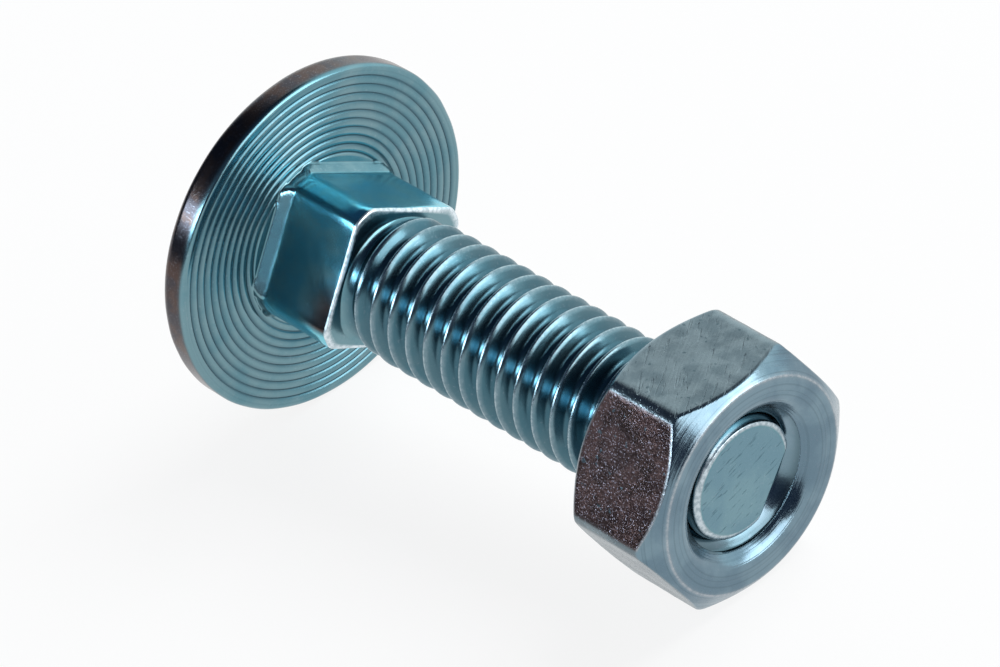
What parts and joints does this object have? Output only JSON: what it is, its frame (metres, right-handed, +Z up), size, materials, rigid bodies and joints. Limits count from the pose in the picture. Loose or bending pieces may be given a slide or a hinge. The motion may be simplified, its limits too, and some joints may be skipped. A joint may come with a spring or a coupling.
{
  "type": "carriage bolt with hex nut",
  "caption": "Zinc-plated carriage bolt with a ridged mushroom head, square neck and full thread, lying on its side with a hex nut screwed on to its end.",
  "frame": {"origin": "on the table, under the middle of the bolt's bounding box as it lies", "axes": "+X runs level from the head to the nut, +Z is up; the bolt's own axis lies in the XZ plane and falls 6.34 degrees towards the nut"},
  "size_m": [0.0452, 0.0246, 0.0246],
  "materials": {
    "zinc_bolt": "bright zinc plate with a clear blue passivate over turned and rolled steel",
    "zinc_nut": "bright zinc plate with a clear blue passivate over pressed flats"
  },
  "bodies": {
    "bolt": {"bolt": "zinc_bolt"},
    "nut": {"hex_nut": "zinc_nut"}
  },
  "joints": [
    {"name": "nut_travel", "type": "slide", "parent": "bolt", "child": "nut", "axis": [0.9939, 0, -0.1104], "range_m": [-0.02145, 0.00825]}
  ]
}
